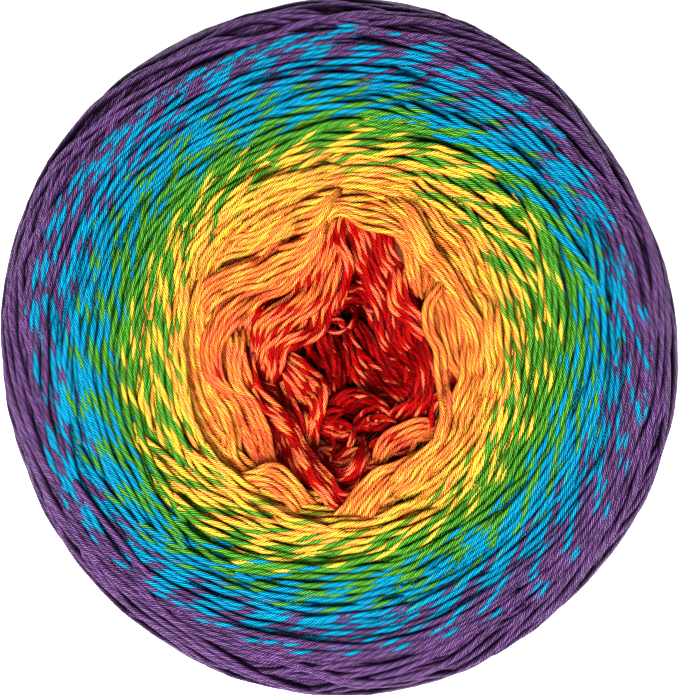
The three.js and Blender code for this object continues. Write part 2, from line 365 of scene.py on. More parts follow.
# Single strands that stray over the floor of the hollow.
strays = [
    [(337, 307), (340, 320), (346, 330), (354, 320), (356, 307)],
    [(324, 329), (337, 333), (350, 329), (361, 320)],
    [(350, 331), (357, 346), (370, 361), (385, 376), (399, 394)],
    [(329, 337), (334, 355), (335, 374), (338, 388)],
    [(342, 340), (348, 359), (349, 382)],
    [(379, 346), (381, 363), (385, 372), (397, 377)],
    [(385, 354), (398, 363), (407, 376), (404, 391)],
    [(322, 412), (329, 428), (334, 450), (326, 468)],
    [(329, 440), (331, 426), (342, 421), (353, 430), (353, 441), (344, 451), (333, 458)],
    [(345, 452), (352, 437), (357, 424), (358, 410)],
    [(352, 426), (362, 413), (376, 408), (394, 413)],
    [(350, 436), (364, 421), (380, 416), (398, 423)],
]


# A smooth line through the points.
def throughPoints(points, count):
    points = np.array(points, float)
    gaps, place = np.linalg.norm(np.diff(points, axis=0), axis=1), runOf(points)
    ends = np.vstack([2 * points[0] - points[1], points, 2 * points[-1] - points[-2]])
    wanted = np.linspace(0, place[-1], count)
    part = np.clip(np.searchsorted(place, wanted, side="right") - 1, 0, len(points) - 2)
    t = ((wanted - place[part]) / gaps[part])[:, None]
    a, b, c, d = (ends[part + k] for k in range(4))
    return 0.5 * (2 * b + (c - a) * t + (2 * a - 5 * b + 4 * c - d) * t ** 2
                  + (3 * b - a - 3 * c + d) * t ** 3)


def solidTopAt(x, y):
    i = np.clip((x + topHalf) / cell, 0, len(places) - 1.001)
    j = np.clip((y + topHalf) / cell, 0, len(places) - 1.001)
    i0, j0 = i.astype(int), j.astype(int)
    u, v = i - i0, j - j0
    return ((1 - u) * (1 - v) * solidTop[i0, j0] + u * (1 - v) * solidTop[i0 + 1, j0]
            + (1 - u) * v * solidTop[i0, j0 + 1] + u * v * solidTop[i0 + 1, j0 + 1])


def fromPixels(pixels):
    seen = np.stack([pixels[:, 0] - camera["pixelsAcross"] / 2,
                     camera["pixelsDown"] / 2 - pixels[:, 1]], axis=1)
    spot = seen * (camera["height"] - 70) / camera["focalPixels"]
    for _ in range(4):
        height = solidTopAt(spot[:, 0], spot[:, 1])
        spot = seen * ((camera["height"] - height) / camera["focalPixels"])[:, None]
    return spot


foldLay = {
    "spacing": 6.0, "uneven": 0.12, "crimp": 0.4, "crimpLength": (13, 17), "fineCrimp": 0.3,
    "fineLength": (6.5, 8), "dive": 5.0, "diveOver": 5.5, "reach": 2.2, "toneSpread": 0.8,
    "phaseStep": 2.1,
}


# How far each end dips under its neighbours.
def endDip(count, dive, over):
    run = pathStep * np.arange(count)
    return dive * (np.clip(1 - run / over, 0, 1) ** 2 + np.clip(1 - run[::-1] / over, 0, 1) ** 2)


def layLoose(bed, path, tone, start=None):
    level = bed.lay(path, yarn["looseRadius"], foldLay["reach"])
    addStrand("folds", np.column_stack([path, level]), facingUp(len(path)), tone, thin=2, start=start,
              sink=endDip(len(path), foldLay["dive"], foldLay["diveOver"]),
              radius=yarn["looseRadius"] * lottery.uniform(0.94, 1.04))


# Each fold is two layers: strands side by side, over strands that fill the gaps between them.
def layFold(bed, tones, leftEdge, rightEdge):
    left, right = throughPoints(leftEdge, 60), throughPoints(rightEdge, 60)
    widest = np.percentile(np.linalg.norm(right - left, axis=1), 80)
    count = max(2, int(round(widest / foldLay["spacing"])))
    beat, phase = lottery.uniform(0, 2 * math.pi), lottery.uniform(0, 40)
    wave, fineWave = lottery.uniform(*foldLay["crimpLength"]), lottery.uniform(*foldLay["fineLength"])
    under, over = np.arange(1, count) / count, (np.arange(count) + 0.5) / count
    for shares in (under, over):
        for number in lottery.permutation(len(shares)):
            share = shares[number] + lottery.uniform(-foldLay["uneven"], foldLay["uneven"]) / count
            path = evenly(fromPixels((1 - share) * left + share * right))
            run = 2 * math.pi * pathStep * np.arange(len(path))
            fineBeat = 2 * beat + 0.4 * number + lottery.normal(0, 0.5)
            sway = np.sin(run / wave + beat + 0.25 * number)
            sway += foldLay["fineCrimp"] * np.sin(run / fineWave + fineBeat)
            path = path + sideways(path) * foldLay["crimp"] * sway[:, None]
            tone = np.linspace(*tones, len(path)) + lottery.normal(0, foldLay["toneSpread"])
            layLoose(bed, path, tone, phase + foldLay["phaseStep"] * number)


# Short loose turns that lie round the hollow, under the folds.
looseTurns = {
    "count": 330, "from": 3.0, "to": 46.0, "length": (18, 34), "sway": 1.6,
    "waves": [(16, 0.7), (7, 0.3)], "tones": [(0, 15), (14, 16.5), (24, 21), (34, 30), (46, 43)],
}


def layLooseTurns(bed, settings):
    for number in range(settings["count"]):
        share = (number + lottery.uniform(0, 1)) / settings["count"]
        distance = settings["from"] + (settings["to"] - settings["from"]) * math.sqrt(share)
        length = min(lottery.uniform(*settings["length"]), 4.2 * distance)
        angle = lottery.uniform(0, 2 * math.pi) + np.linspace(-0.5, 0.5, 80) * length / distance
        away = distance + wobble(length, 80, settings["sway"], settings["waves"])
        tone = fromTable(distance, settings["tones"]) + lottery.normal(0, 1)
        layLoose(bed, evenly(polar(away, angle)), tone)


# Turns over the top, from the middle outwards. Families of turns lie side by side.
topTurns = {
    "last": 67.0, "group": (5, 8), "gap": 1.54, "reach": (56, 72), "dive": 6.0,
    "rise": [(33, 9.0), (45, 8.5), (55, 7.0), (62, 4.5), (67, 2.5)],
    "density": [(33, 5.8), (67, 5.6)], "fillers": 50,
    "sway": [(33, 1.2), (45, 0.7), (60, 0.4), (70, 0.2)],
    "bury": 5.0, "toneLead": 1.5, "phaseStep": 2.0,
    # distance out, then how much further out the colours lie towards one direction,
    # and towards two opposite ones
    "toneLean": [(41, (0.0, 0, 2.1, 90)), (53, (1.7, 220, 0.3, 60)), (66, (3.2, 128, 0.0, 0))],
    # direction, and how far out the folds of the middle reach there
    "first": [(0, 36), (45, 36.5), (90, 35), (140, 37.5), (180, 34),
              (225, 35.5), (270, 37), (315, 36), (360, 36)],
}
# A plain layer under the families, which closes the gaps between them.
deepTurns = {
    "from": 32.0, "to": 70.0, "gap": 1.54, "sway": 0.35, "waves": [(60, 0.7), (22, 0.3)],
    "below": 2.2,
}
underTurns = {
    "last": 60.0, "group": (3, 6), "gap": 1.8, "reach": (50, 64), "dive": 2.0,
    "rise": [(5, 3.0), (30, 6.0), (60, 6.0)],
    "density": [(5, 3.6), (60, 3.6)], "fillers": 0,
    "sway": [(5, 0.3), (70, 0.2)],
    "bury": 3.0, "toneLead": 1.5, "phaseStep": 2.0, "toneLean": [(0, (0.0, 0, 0.0, 0))],
    "first": [(0, 5), (360, 5)],
}


# The bed's height over the solid, along arcs whose ends rise farther from the middle.
def bedOverArcs(bed, solidAt, here, rise, share, degrees):
    angle = np.radians(degrees)
    distance = (here + rise * share ** 2) * outlineFactor(angle, here)
    x, y = distance * np.cos(angle), distance * np.sin(angle)
    return bed.at(x, y) - solidAt(x.ravel(), y.ravel()).reshape(x.shape)


# The next family goes where the bed is lowest, as the winder evens out the cake.
def lowestPlace(bed, settings, solidAt, radius, count, reach, rise):
    centres = np.arange(0, 360, 10.0)[:, None, None]
    share = np.linspace(-0.85, 0.85, 9)[None, None, :]
    here = radius + settings["gap"] * np.linspace(0, count - 1, 4)[None, :, None]
    level = bedOverArcs(bed, solidAt, here, rise, share, centres + reach * share)
    kept = (fromTable(centres, settings["first"]) <= here) & (here <= settings["last"])
    kept = np.broadcast_to(kept, level.shape)
    mean = (level * kept).sum(axis=(1, 2)) / np.maximum(kept.sum(axis=(1, 2)), 1)
    mean = np.where(kept.any(axis=(1, 2)), mean, 99) + lottery.uniform(0, 0.4, len(mean))
    return 10.0 * np.argmin(mean) + lottery.uniform(-5, 5)


def toneLean(table, radius, direction):
    leans = [one * math.cos(math.radians(direction - towards))
             + two * math.cos(2 * math.radians(direction - both))
             for _, (one, towards, two, both) in table]
    return np.interp(radius, [row[0] for row in table], leans)


turnLay = {
    "points": 240, "familyWaves": [(40, 0.75), (19, 0.25)], "ripple": 0.35,
    "rippleWaves": [(14, 0.6), (7, 0.4)], "startInside": 8, "outermost": 70.5, "stiffReach": 5.0,
    "diveOver": 9.0, "toneSpread": 0.35,
}


# One turn: an arc round the middle, with both ends farther out than its own middle.
def layTurn(bed, settings, pieceAt, sign, turn):
    radius, centre = turn["radius"], turn["centre"]
    share = np.linspace(-1, 1, turnLay["points"])
    angle = math.radians(centre) + math.radians(turn["reach"]) * share
    sway = fromTable(radius, settings["sway"])
    ripple = wobble(2 * math.radians(turn["reach"]) * radius, turnLay["points"],
                    turnLay["ripple"] * sway, turnLay["rippleWaves"])
    distance = radius + turn["rise"] * share ** 2 + sway * turn["sway"] + ripple
    distance = np.minimum(distance, turnLay["outermost"]) * outlineFactor(angle, distance)
    path = evenly(polar(distance, angle))
    level = bed.lay(path, yarn["radius"], turnLay["stiffReach"])
    tone = radius + settings["toneLead"] - toneLean(settings["toneLean"], radius, centre)
    addStrand(pieceAt(radius), np.column_stack([path, sign * level]), facingUp(len(path), sign),
              tone + lottery.normal(0, turnLay["toneSpread"]), thin=3,
              start=turn["phase"] - pathStep * len(path) / 2,
              sink=endDip(len(path), settings["dive"], turnLay["diveOver"]))


def layTurns(bed, settings, solidAt, pieceAt, sign=1.0):
    radius, total = min(first for _, first in settings["first"]) - turnLay["startInside"], 0
    while radius < settings["last"]:
        count = int(lottery.integers(*settings["group"], endpoint=True))
        rise = fromTable(radius, settings["rise"]) * lottery.uniform(0.85, 1.15)
        reach = lottery.uniform(*settings["reach"]) * (1 + 9 / max(radius, 9))
        centre = lowestPlace(bed, settings, solidAt, radius, count, reach, rise)
        sway = wobble(2 * math.radians(reach) * max(radius, 12), turnLay["points"], 1.0,
                      turnLay["familyWaves"])
        lean, phase = lottery.uniform(-2.5, 2.5), lottery.uniform(0, 40)
        for number in range(count):
            here = radius + number * settings["gap"] * lottery.uniform(0.97, 1.05)
            towards = centre + number * lean + lottery.normal(0, 1.5)
            if fromTable(towards % 360, settings["first"]) <= here <= settings["last"]:
                layTurn(bed, settings, pieceAt, sign,
                        {"radius": here, "centre": towards, "sway": sway, "rise": rise,
                         "reach": reach * lottery.uniform(0.93, 1.07),
                         "phase": phase + number * settings["phaseStep"]})
                total += 1
        radius += count / fromTable(radius, settings["density"]) * lottery.uniform(0.8, 1.2)
    for _ in range(settings["fillers"]):
        layFiller(bed, settings, solidAt, pieceAt, sign)
    print("scene:", total, "turns over the", "top" if sign > 0 else "underside")


# One turn more, along the deepest furrow left between the others.
def layFiller(bed, settings, solidAt, pieceAt, sign):
    centres = np.arange(0, 360, 6.0)[:, None, None]
    here = np.arange(34, settings["last"], 0.6)[None, :, None]
    share = np.linspace(-1, 1, 15)[None, None, :]
    reach = lottery.uniform(26, 44)
    rise = fromTable(here, settings["rise"]) * (reach / 64) ** 2
    level = bedOverArcs(bed, solidAt, here, rise, share, centres + reach * share).mean(axis=2)
    level[(fromTable(centres, settings["first"]) > here)[..., 0]] = 99
    i, j = np.unravel_index(np.argmin(level), level.shape)
    layTurn(bed, settings, pieceAt, sign,
            {"radius": float(here[0, j, 0]), "centre": float(centres[i, 0, 0]), "sway": 0.0,
             "reach": reach, "rise": float(rise[0, j, 0]), "phase": lottery.uniform(0, 40)})


def layDeepTurns(settings):
    for radius in np.arange(settings["from"], settings["to"], settings["gap"]):
        angle = lottery.uniform(0, 2 * math.pi) + np.linspace(0, 2 * math.pi + 0.06, 400)
        sway = wobble(2 * math.pi * radius, len(angle), settings["sway"], settings["waves"])
        path = evenly(polar((radius + sway) * outlineFactor(angle, radius), angle))
        level = smoothed(solidTopAt(*path.T), 3.0) - settings["below"] - yarn["radius"]
        addStrand("deepTurns", np.column_stack([path, level]), facingUp(len(path)),
                  radius + topTurns["toneLead"], thin=6)


# The pile is let down, evenly over a few strands' width, until it lies on the solid's surface.
settling = {
    "evenOver": 2.8, "evenMiddle": 4.0, "middle": [(34, 0), (40, 1)], "within": 71.0,
    "hidden": 2.4, "deepest": 3.8, "proud": [(0, 0.3), (58, 0.3), (66, -1.6)],
    "most": [(0, 4.0), (34, 3.4), (40, 1.8), (60, 1.3)],
}
underSettling = {
    "evenOver": 2.8, "evenMiddle": 2.8, "middle": [(34, 0), (40, 1)], "within": 66.0,
    "hidden": 2.6, "deepest": 2.6, "proud": [(0, -0.15), (54, -0.15), (62, -1.2)],
    "most": [(0, 0.15)],
}


# Strands keep their order, but none stands far out of the surface or lies far below it.
def limited(over, most, deepest=1e6):
    return np.where(over > 0, most * np.tanh(over / most), deepest * np.tanh(over / deepest))


def spreadOut(values, reach):
    rows = np.apply_along_axis(smoothed, 0, values, reach)
    return np.apply_along_axis(smoothed, 1, rows, reach)


def gridAt(grid, x, y):
    return Bed(grid, (-topHalf, -topHalf), cell).at(x, y)


def settle(bed, solid, names, settings, sign=1.0):
    inside = (radiusGrid < settings["within"] * outlineFactor(angleGrid, radiusGrid)).astype(float)
    drops = []
    for reach in (settings["evenMiddle"] / cell, settings["evenOver"] / cell):
        excess = spreadOut((bed.heights - solid) * inside, reach)
        drops.append(excess / np.maximum(spreadOut(inside, reach), 0.02))
    outer = fromTable(radiusGrid, settings["middle"])
    drop = drops[0] * (1 - outer) + drops[1] * outer - fromTable(radiusGrid, settings["proud"])
    for name in names:
        kept = []
        for strand in strands[name]:
            middle, radius = strand["middle"], strand["radius"]
            side = 0.8 * radius * sideways(middle[:, :2])
            cover = np.min([gridAt(bed.heights, *(middle[:, :2] + k * side).T) - sign * middle[:, 2]
                            for k in (-1, 0, 1)], axis=0) - radius
            seen = np.flatnonzero(cover < settings["hidden"])
            if len(seen) < 4:
                continue
            part = slice(max(0, seen[0] - 6), seen[-1] + 7)
            strand["start"] += np.linalg.norm(np.diff(middle[:part.start + 1], axis=0), axis=1).sum()
            for key in ("middle", "out", "tone", "sink"):
                strand[key] = strand[key][part]
            x, y = strand["middle"][:, :2].T
            low, most = gridAt(solid, x, y) - radius, fromTable(np.hypot(x, y), settings["most"])
            level = sign * strand["middle"][:, 2] - gridAt(drop, x, y)
            level = low + limited(level - low, most, settings["deepest"])
            strand["middle"][:, 2] = sign * (level - strand["sink"])
            kept.append(strand)
        print("scene:", name, "shows", len(kept), "of", len(strands[name]), "strands")
        strands[name] = kept
    bed.heights = bed.heights - drop


print("scene: laying the middle")
radiusGrid = np.hypot(*np.meshgrid(places, places, indexing="ij"))
angleGrid = np.arctan2(*np.meshgrid(places, places, indexing="ij")[::-1])
topBed = Bed(solidTop - topTurns["bury"], (-topHalf, -topHalf), cell)
layDeepTurns(deepTurns)
layLooseTurns(topBed, looseTurns)
for name, *fold in folds:
    layFold(topBed, *fold)
    if name == "lowerCurl":
        for stray in strays:
            path = evenly(fromPixels(throughPoints(stray, 40)))
            layLoose(topBed, path, 17.0 + lottery.uniform(0, 2.2))
print("scene: laying the turns over both ends")
layTurns(topBed, topTurns, solidTopAt, lambda r: "yellowTurns" if r < 48 else "blueTurns")
settle(topBed, solidTop, ("folds", "yellowTurns", "blueTurns"), settling)
underBed = Bed(np.full_like(solidTop, -underTurns["bury"]), (-topHalf, -topHalf), cell)
layTurns(underBed, underTurns, lambda x, y: 0.0 * x, lambda r: "underTurns", sign=-1.0)
settle(underBed, np.zeros_like(solidTop), ("underTurns",), underSettling, sign=-1.0)


# The last turns go up and down the wall, over both shoulders.
# Their tone of 77 puts them mostly in the lighter purple, painted light on the wall.
sideTurns = {
    "cycles": 72, "spacing": 6.5, "topTurn": (5.0, 17.0), "footTurn": (6.0, 22.0), "rounding": 64.0,
    "sway": 0.4, "waves": [(70, 0.7), (31, 0.3)], "stiffReach": 6.0, "bury": 3.4, "proud": 0.25,
    "most": 0.6, "tone": 77.0, "toneSpread": 0.6, "topFacing": 0.75, "footFacing": -0.9,
}
# Tone 77 gives these the lighter purple too, painted light on the wall.
deepWall = {
    "from": 13.0, "to": 100.0, "gap": 1.54, "sway": 0.3, "waves": [(60, 0.7), (22, 0.3)],
    "below": 1.5, "tone": 77.0,
}
profile = {
    "domeFrom": 58.0, "crownRadius": 44.0, "crownHeight": 74.0, "domeRadius": 70.0, "domeSlope": 27.0,
    "wallRadius": 74.2, "footRound": 10.5, "underTo": 54.0,
}


# The mean profile from the dome down the wall to the underside: distance out, and height.
def meanProfile():
    p = profile
    slope = math.radians(p["domeSlope"])
    fall = math.tan(slope) / (2 * (p["domeRadius"] - p["crownRadius"]))
    distance = np.linspace(p["domeFrom"], p["domeRadius"], 24)
    rows = [(r, p["crownHeight"] - fall * (r - p["crownRadius"]) ** 2) for r in distance]
    bend = (p["wallRadius"] - p["domeRadius"]) / (1 - math.sin(slope))
    wallTop = rows[-1][1] - bend * math.cos(slope)
    for turn in np.linspace(math.pi / 2 - slope, 0, 16)[1:]:
        rows.append((p["wallRadius"] - bend * (1 - math.cos(turn)), wallTop + bend * math.sin(turn)))
    for height in np.linspace(wallTop, p["footRound"], 40)[1:]:
        rows.append((p["wallRadius"], height))
    for turn in np.linspace(0, math.pi / 2, 20)[1:]:
        rows.append((p["wallRadius"] - p["footRound"] * (1 - math.cos(turn)),
                     p["footRound"] * (1 - math.sin(turn))))
    for r in np.linspace(p["wallRadius"] - p["footRound"], p["underTo"], 12)[1:]:
        rows.append((r, 0.0))
    rows = np.array(rows)
    place = runOf(rows)
    even = np.arange(0, place[-1], cell)
    points = np.stack([np.interp(even, place, rows[:, k]) for k in (0, 1)], axis=1)
    ahead = np.gradient(points, axis=0)
    ahead = np.stack([smoothed(ahead[:, k], 3.0) for k in (0, 1)], axis=1)
    ahead /= np.linalg.norm(ahead, axis=1, keepdims=True)
    return even, points, np.stack([-ahead[:, 1], ahead[:, 0]], axis=1)


# How far the solid stands out of the mean profile, read at every third place and filled in between.
def sideSurface(even, points, facing, away=8, skip=3):
    columns = int(round(2 * math.pi * cakeRadius / cell))
    gaps = np.zeros((columns, len(even)))
    rows = np.arange(0, columns, skip)
    for i in rows:
        angle = 2 * math.pi * i / columns
        c, s = math.cos(angle), math.sin(angle)
        for j in range(0, len(even), skip):
            (r, z), (nr, nz) = points[j], facing[j]
            start = Vector(((r + away * nr) * c, (r + away * nr) * s, z + away * nz)) * metre
            hit = surface.ray_cast(start, Vector((-nr * c, -nr * s, -nz)))
            gaps[i, j] = away - hit[3] / metre if hit[0] is not None else 0.0
        gaps[i] = np.interp(even, even[::skip], gaps[i, ::skip])
    known, wanted = np.append(rows, columns), np.arange(columns)
    for j in range(len(even)):
        gaps[:, j] = np.interp(wanted, known, np.append(gaps[rows, j], gaps[0, j]))
    return gaps


# From places on the unrolled wall to places round the cake.
def aroundWall(path, level, even, points, facing):
    angle = path[:, 0] / cakeRadius
    r, z, nr, nz = (np.interp(path[:, 1], even, v) for v in (*points.T, *facing.T))
    distance = r + nr * level
    height = np.maximum(z + nz * level, yarn["radius"] - 0.1)
    middle = np.stack([distance * np.cos(angle), distance * np.sin(angle), height], axis=1)
    return middle, np.stack([nr * np.cos(angle), nr * np.sin(angle), nz], axis=1)


# Level turns under those of the wall, which close the gaps where they cross.
def layDeepWall(settings, solidGap, even, points, facing):
    whole = 2 * math.pi * cakeRadius
    for along in np.arange(settings["from"], settings["to"], settings["gap"]):
        across = lottery.uniform(0, whole) + np.arange(0, whole + 4.5, 1.0)
        sway = wobble(whole, len(across), settings["sway"], settings["waves"])
        path = np.stack([across, along + sway], axis=1)
        level = smoothed(solidGap.at(*path.T), 3.0) - settings["below"] - yarn["radius"]
        middle, out = aroundWall(path, level, even, points, facing)
        addStrand("deepTurns", middle, out, settings["tone"], thin=5)


# The wall's bed, which joins those of the top and the underside at the shoulders.
def wallBed(settings, gaps, points, facing):
    angles = 2 * math.pi * np.arange(len(gaps)) / len(gaps)
    bed = np.full_like(gaps, -settings["bury"])
    for j, ((r, _), (nr, nz)) in enumerate(zip(points, facing)):
        x, y = polar(r + nr * gaps[:, j], angles).T
        if nz > settings["topFacing"]:
            bed[:, j] = np.clip((topBed.at(x, y) - solidTopAt(x, y)) * nz, -settings["bury"], 0.8)
        elif nz < settings["footFacing"]:
            bed[:, j] = underBed.at(x, y)
    return Bed(gaps + bed, (0.0, 0.0), cell, wraps=True)


# From the foot up to the shoulder and down again, rounded at the top and at both feet.
def upAndDown(across, half, top, low, rounding):
    slope = (low - top) / (half - rounding)
    away = np.abs(across)
    nearTop, straight = top + slope * away ** 2 / (2 * rounding), top + slope * (away - rounding / 2)
    along = np.where(away < rounding, nearTop, straight)
    fromLow = half - away
    return np.where(fromLow < rounding, low - slope * fromLow ** 2 / (2 * rounding), along)


def laySideTurns(settings):
    even, points, facing = meanProfile()
    gaps = sideSurface(even, points, facing)
    sideBed = wallBed(settings, gaps, points, facing)
    whole, widest, start, laid = 2 * math.pi * cakeRadius, even[-1], 0.0, []
    half = (whole + whole / 3 + settings["spacing"] / 3) / 2
    bottom = widest - lottery.uniform(*settings["footTurn"])
    for cycle in range(settings["cycles"]):
        # Turning places step by the golden ratio, so that no two lie side by side.
        order = 0.618 * (cycle // 3) + 0.333 * (cycle % 3)
        top = settings["topTurn"][0] + np.ptp(settings["topTurn"]) * (order % 1)
        lift = np.ptp(settings["footTurn"]) * ((order + 0.5) % 1)
        nextBottom = widest - settings["footTurn"][0] - lift
        across = np.arange(-half, half, pathStep)
        low = np.where(across < 0, bottom, nextBottom)
        along = upAndDown(across, half, top, low, settings["rounding"])
        sway = wobble(2 * half, len(across), settings["sway"], settings["waves"])
        path = np.stack([start + across, along + sway], axis=1)
        laid.append((path, sideBed.lay(path, yarn["radius"], settings["stiffReach"])))
        start += 2 * half + lottery.uniform(-1.0, 1.0)
        bottom = nextBottom
    reach = settling["evenOver"] / cell
    margin = int(4 * reach)
    padded = np.pad(sideBed.heights - gaps, ((margin, margin), (0, 0)), mode="wrap")
    solidGap = Bed(gaps, (0.0, 0.0), cell, wraps=True)
    excess = spreadOut(padded, reach)[margin:-margin]
    drop = Bed(excess - settings["proud"], (0.0, 0.0), cell, wraps=True)
    for cycle, (path, level) in enumerate(laid):
        near = solidGap.at(*path.T) - yarn["radius"]
        level = near + limited(level - drop.at(*path.T) - near, settings["most"])
        middle, out = aroundWall(path, level, even, points, facing)
        addStrand("wallTurns%d" % (1 + cycle % 2), middle, out,
                  settings["tone"] + lottery.normal(0, settings["toneSpread"]), thin=5)
    layDeepWall(deepWall, solidGap, even, points, facing)
    print("scene:", settings["cycles"], "turns up and down the wall")


print("scene: laying the wall")
laySideTurns(sideTurns)


# A shader value that takes Python's operators.
class Socket:
    def __init__(self, tree, source):
        self.tree, self.source = tree, source

    def math(self, operation, *others):
        node = self.tree.nodes.new("ShaderNodeMath")
        node.operation = operation
        for place, value in enumerate((self, *others)):
            if isinstance(value, Socket):
                self.tree.links.new(value.source, node.inputs[place])
            else:
                node.inputs[place].default_value = value
        return Socket(self.tree, node.outputs[0])

    def __add__(self, value):
        return self.math("ADD", value)

    def __sub__(self, value):
        return self.math("SUBTRACT", value)

    def __mul__(self, value):
        return self.math("MULTIPLY", value)

    def __truediv__(self, value):
        return self.math("DIVIDE", value)

    def __rsub__(self, value):
        node = self.tree.nodes.new("ShaderNodeValue")
        node.outputs[0].default_value = value
        return Socket(self.tree, node.outputs[0]).math("SUBTRACT", self)

    __radd__, __rmul__ = __add__, __mul__


# A material with its shader. An input named i0, i1 and so on is found by its number.
class Finish:
    def __init__(self, name):
        self.material = bpy.data.materials.new(name)
        self.material.use_nodes = True
        self.tree = self.material.node_tree
        self.shader = self.tree.nodes["Principled BSDF"]

    def node(self, kind, settings=None, **inputs):
        node = self.tree.nodes.new("ShaderNode" + kind)
        stops = (settings or {}).pop("stops", None)
        for key, value in (settings or {}).items():
            setattr(node, key, value)
        if stops:
            ramp = node.color_ramp
            while len(ramp.elements) > 1:
                ramp.elements.remove(ramp.elements[-1])
            ramp.elements[0].position, ramp.elements[0].color = stops[0][0], (*stops[0][1], 1)
            for place, shade in stops[1:]:
                ramp.elements.new(place).color = (*shade, 1)
        for key, value in inputs.items():
            numbered = key[0] == "i" and key[1:].isdigit()
            socket = node.inputs[int(key[1:]) if numbered else key]
            if isinstance(value, Socket):
                self.tree.links.new(value.source, socket)
            else:
                socket.default_value = value
        return node

    def out(self, node, name=0):
        return Socket(self.tree, node.outputs[name])

    def feed(self, name, value):
        if isinstance(value, Socket):
            self.tree.links.new(value.source, self.shader.inputs[name])
        else:
            self.shader.inputs[name].default_value = value


def linear(shade):
    return tuple((c / 12.92 if c <= 0.04045 else ((c + 0.055) / 1.055) ** 2.4)
                 for c in (v / 255 for v in shade))


# Each dye, and where it begins, as millimetres from the middle. The first, a darker red, is painted
# shade for the deep hollow.
dyes = [
    ("innerShadeRed", (146, 4, 8), 0), ("red", (190, 8, 12), 14.0), ("peach", (252, 130, 92), 21.0),
    ("orange", (252, 151, 84), 25.0), ("amber", (252, 182, 94), 31.6), ("yellow", (242, 205, 90), 37.6),
    ("green", (100, 162, 64), 42.5), ("blue", (0, 160, 192), 52.4), ("purple", (113, 82, 126), 63.6),
    # The last dye, a lighter purple that the wall's turns take, is painted light on the wall.
    ("paintedLitPurple", (127, 93, 141), 74.6),
]
gradientEnd = 90.0


# Two stops a dye, so that each one holds its colour and gives way over a short blend.
# The factor darkens every dye alike, as painted shade; at 1 the dyes are as they are.
def dyeStops(paintedShadeFactor=1.0, blend=0.3):
    stops = []
    for place, (_, colour, start) in enumerate(dyes):
        shade = tuple(c * paintedShadeFactor for c in linear(colour))
        stops.append(((start + blend) / gradientEnd if place else 0.0, shade))
        if place + 1 < len(dyes):
            stops.append(((dyes[place + 1][2] - blend) / gradientEnd, shade))
    return stops


# groove shapes each thread's crown, for its bump and its painted shade; sideShade and outerSideShade
# set the painted shade at the sides of each turn.
yarnLook = {
    "groove": 0.97, "dyeShift": {"i1": 50.0, "i2": 62.0, "i3": 3.0, "i4": 4.4},
    "stripesAlong": 1.35, "stripesAround": 8, "flecks": 0.9, "sideShade": 0.02, "outerSideShade": 0.2,
    "relief": 0.00055, "rough": 0.5, "sheen": 0.07,
}


def yarnFinish():
    f = Finish("pliedYarn")
    place = f.node("UVMap", {"uv_map": "alongAround"})
    parts = f.node("SeparateXYZ", Vector=f.out(place))
    along, around = f.out(parts, "X"), f.out(parts, "Y")
    tone = f.out(f.node("Attribute", {"attribute_name": "tone"}), "Fac")
    shade = f.out(f.node("Attribute", {"attribute_name": "shade"}), "Fac")
    thread = (around + along / yarn["pitch"]) * yarn["threads"]
    which = thread.math("FLOOR").math("FLOORED_MODULO", 4.0)
    within = thread.math("FRACT") * 2 - 1
    # Each thread's crown gives its bump, and also painted shade, darker towards the grooves between
    # threads.
    threadCrownAndShade = (1 - within * within * yarnLook["groove"]).math("SQRT")
    # The threads of one strand change dye at different places, farther apart in the outer turns.
    shift = f.out(f.node("MapRange", None, Value=tone, **yarnLook["dyeShift"]))
    placeNow = tone + (which - 1.5) * shift
    dye = f.node("ValToRGB", {"stops": dyeStops()}, Fac=placeNow / gradientEnd)
    stripes = along * yarnLook["stripesAlong"] + around * yarnLook["stripesAround"]
    # Fibre ridges: their sine gives the bump, and in the colour it paints a highlight on each ridge and
    # shade between them.
    fibreRidgesAndShade = (stripes * (2 * math.pi)).math("SINE") * 0.5 + 0.5
    fleck = f.node("TexNoise", {"noise_dimensions": "2D"}, Vector=f.out(place),
                   Scale=yarnLook["flecks"], Detail=2.0)
    # Painted shade: each thread is up to 30% darker towards its grooves.
    threadGrooveShade = threadCrownAndShade * 0.3 + 0.7
    # Painted shade: each turn is darker where it goes down between its neighbours, more so in the outer
    # turns.
    down = (1 - (around * (2 * math.pi)).math("COSINE")).math("MINIMUM", 1.0)
    sideShade = down * (shift * yarnLook["outerSideShade"] + yarnLook["sideShade"])
    # The base colour carries painted light: shade in the thread grooves and at the turns' sides, and
    # highlights and shade along the fibre ridges. The random tone of each strand and the flecks are the
    # yarn's own colour.
    light = threadGrooveShade * (1 - sideShade) * (fibreRidgesAndShade * 1.06 + 0.42)
    light = light * (shade * 0.16 + 0.86) * (f.out(fleck, "Fac") * 0.3 + 0.86)
    # Painted shade: the thread grooves, the hollows between fibre ridges and the sides of each turn are
    # deeper in colour as well as darker.
    shadeGamma = (1 - threadCrownAndShade) * 0.8 + (1 - fibreRidgesAndShade) * 0.7 + down * 0.7 + 1
    shadedDye = f.node("Gamma", None, Color=f.out(dye, "Color"), Gamma=shadeGamma)
    dyeWithPaintedLight = f.node("VectorMath", {"operation": "SCALE"}, i0=f.out(shadedDye), Scale=light)
    f.feed("Base Color", f.out(dyeWithPaintedLight, "Vector"))
    height = threadCrownAndShade * 0.6 + fibreRidgesAndShade * 0.4
    bump = f.node("Bump", None, Height=height, Distance=yarnLook["relief"], Strength=1.0)
    f.feed("Normal", f.out(bump, "Normal"))
    f.feed("Roughness", yarnLook["rough"])
    f.feed("Specular IOR Level", yarnLook["sheen"])
    return f.material


# The core's dyes are darkened to 0.12, painted shade where the core shows in the gaps between the
# turns.
coreLook = {"inset": 4.2, "paintedShadeFactor": 0.12, "blotches": 260.0, "blotchShift": 6, "relief": 0.0006}


